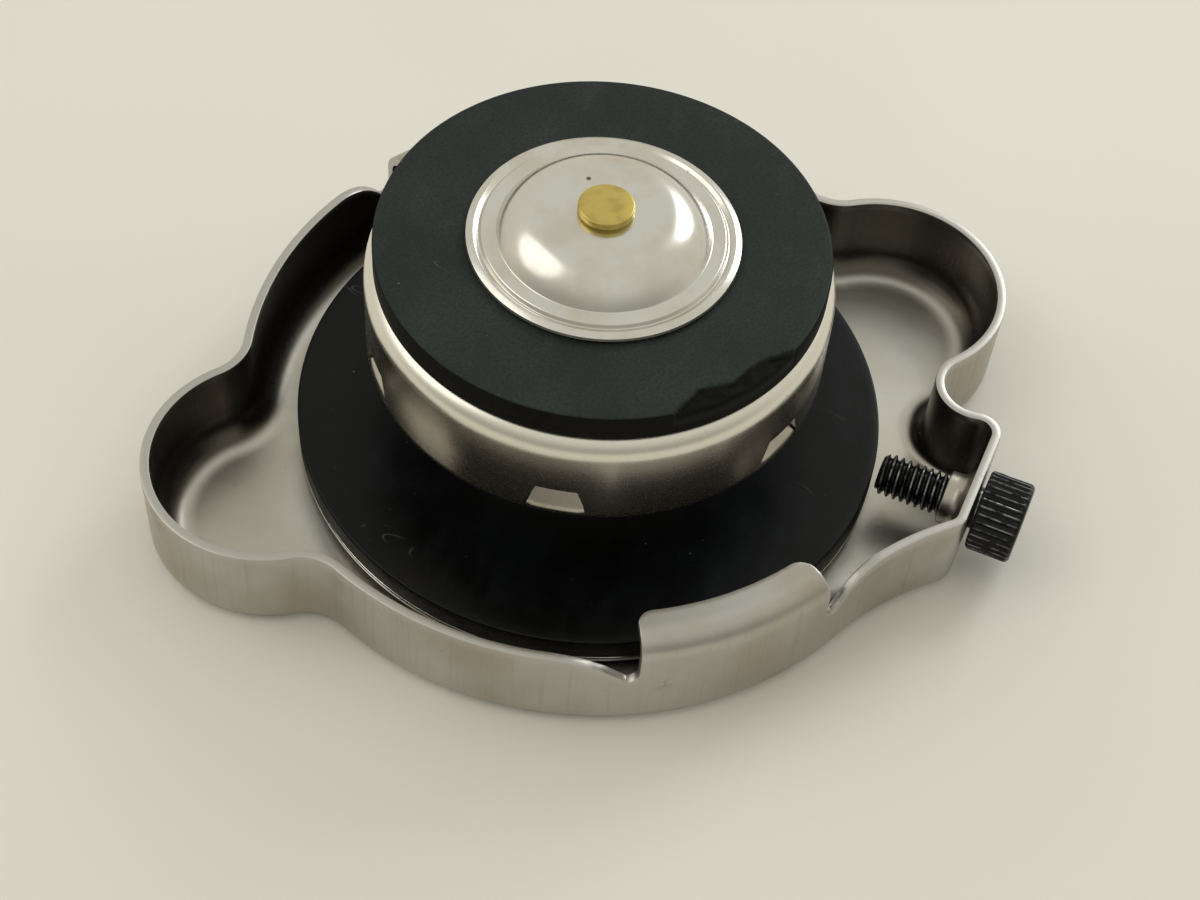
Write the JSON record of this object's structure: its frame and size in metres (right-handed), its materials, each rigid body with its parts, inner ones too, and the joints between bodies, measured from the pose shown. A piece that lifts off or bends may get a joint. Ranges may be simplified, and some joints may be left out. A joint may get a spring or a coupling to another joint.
{
  "type": "radiator cap",
  "caption": "Pressed steel radiator cap with ears and bayonet lugs, a sprung pressure valve that carries a domed vacuum valve, and a lock screw through its side.",
  "frame": {"origin": "on the cap's axis, in the plane of the outer face that it lies on", "axes": "+Z along the cap's axis from the outer face towards the valve, +X along the ears"},
  "size_m": [0.085, 0.065, 0.0311],
  "materials": {
    "shell_steel": "satin",
    "plate_steel": "satin",
    "seal_rubber": "semi-gloss",
    "bell_steel": "satin",
    "rivet_steel": "satin",
    "spring_steel": "drawn wire",
    "cup_steel": "satin",
    "gasket_rubber": "matte",
    "disc_steel": "polished",
    "stem_brass": "polished",
    "vacuum_spring_steel": "drawn wire",
    "washer_steel": "satin",
    "black_oxide": "black oxide"
  },
  "bodies": {
    "cap_shell": {"shell": "shell_steel"},
    "valve_unit": {"swivel_rivet": "rivet_steel", "friction_plate": "plate_steel", "upper_seal": "seal_rubber", "spring_bell": "bell_steel", "pressure_spring": "spring_steel"},
    "pressure_valve": {"pressure_cup": "cup_steel", "pressure_gasket": "gasket_rubber", "vacuum_spring": "vacuum_spring_steel"},
    "vacuum_valve": {"vacuum_disc": "disc_steel", "vacuum_stem": "stem_brass", "stem_washer": "washer_steel"},
    "screw": {"lock_screw": "black_oxide"}
  },
  "joints": [
    {"name": "valve_swivel", "type": "hinge", "parent": "cap_shell", "child": "valve_unit", "pos_m": [0, 0, 0.002], "axis": [0, 0, 1], "continuous": true},
    {"name": "pressure_slide", "type": "slide", "parent": "valve_unit", "child": "pressure_valve", "axis": [0, 0, -1], "range_m": [0, 0.0035], "stiffness_N_per_m": 10000, "springref_m": -0.009, "deforming": ["pressure_spring"]},
    {"name": "vacuum_slide", "type": "slide", "parent": "pressure_valve", "child": "vacuum_valve", "axis": [0, 0, 1], "range_m": [0, 0.002], "stiffness_N_per_m": 300, "springref_m": -0.003, "deforming": ["vacuum_spring"]},
    {"name": "screw_slide", "type": "slide", "parent": "cap_shell", "child": "screw", "axis": [0.6947, -0.7193, 0], "range_m": [-0.0003, 0.007]}
  ]
}
